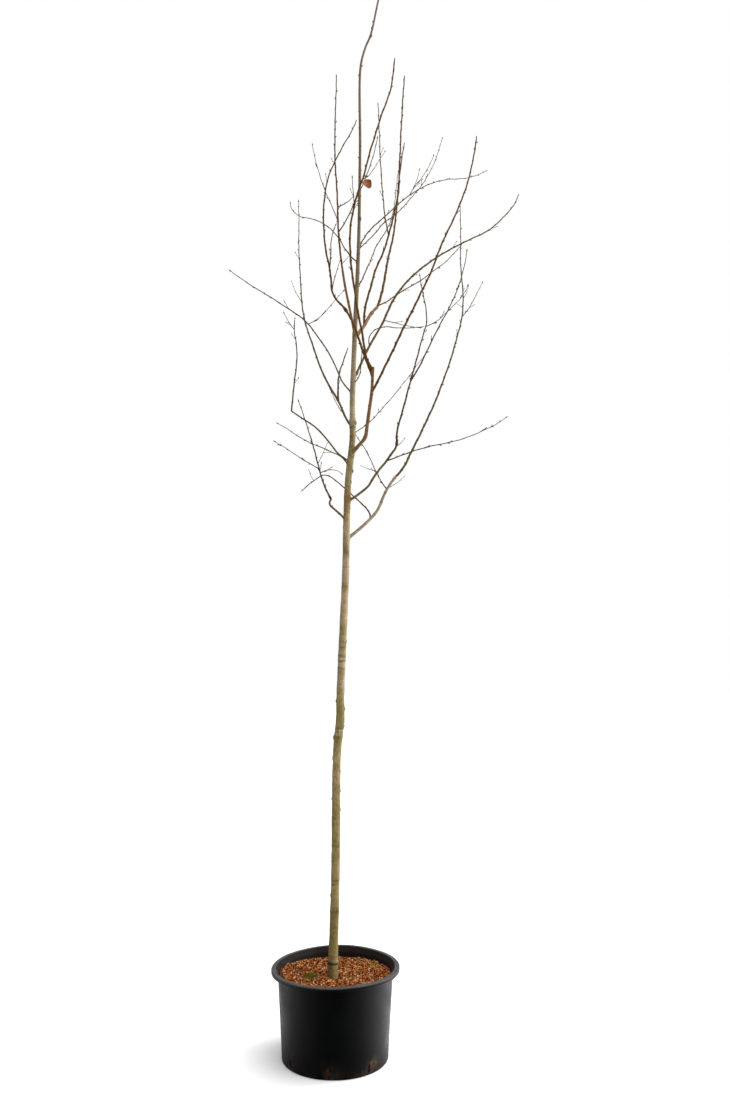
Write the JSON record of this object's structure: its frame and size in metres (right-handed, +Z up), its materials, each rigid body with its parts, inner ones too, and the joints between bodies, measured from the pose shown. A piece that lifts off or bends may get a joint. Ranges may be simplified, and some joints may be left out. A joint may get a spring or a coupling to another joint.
{
  "type": "potted serviceberry tree",
  "caption": "Young bare serviceberry grown as a clear-stemmed standard with an open upright crown, standing in a round black nursery pot of bark mix.",
  "frame": {"origin": "centre of the pot's flat underside, on the floor", "axes": "+X to the right and +Y away from the viewer as in the picture, +Z up the trunk"},
  "size_m": [1.1394, 0.7045, 4.1203],
  "materials": {
    "pot": "black moulded plastic with a soft gloss",
    "potting_mix": "loose chipped bark",
    "trunk_bark": "smooth olive-grey bark with a green tint of algae",
    "bough_bark": "smooth red-brown to grey-brown bark",
    "twigs": "smooth dark brown bark with pointed buds"
  },
  "bodies": {
    "root": {"pot": "pot", "potting_mix": "potting_mix", "trunk": "trunk_bark", "low_right_bough": "bough_bark", "low_left_bough": "bough_bark", "second_right_bough": "bough_bark", "bent_left_bough": "bough_bark", "front_bough": "bough_bark", "high_left_bough": "bough_bark", "long_left_bough": "bough_bark", "long_right_bough": "bough_bark", "upper_right_bough": "bough_bark", "upper_left_bough": "bough_bark", "low_right_twigs": "twigs", "low_right_side_twigs": "twigs", "low_right_weak_twigs": "twigs", "low_left_twigs": "twigs", "second_right_twigs": "twigs", "bent_left_twigs": "twigs", "left_slender_twigs": "twigs", "front_right_twigs": "twigs", "front_left_twigs": "twigs", "front_middle_twigs": "twigs", "right_slender_twigs": "twigs", "high_left_twigs": "twigs", "high_left_fork_twigs": "twigs", "long_left_twigs": "twigs", "long_right_twigs": "twigs", "upper_right_twigs": "twigs", "upper_tall_twigs": "twigs", "upper_left_twigs": "twigs", "back_twigs": "twigs", "crown_left_twigs": "twigs", "crown_right_twigs": "twigs", "crown_back_twigs": "twigs"}
  },
  "joints": []
}
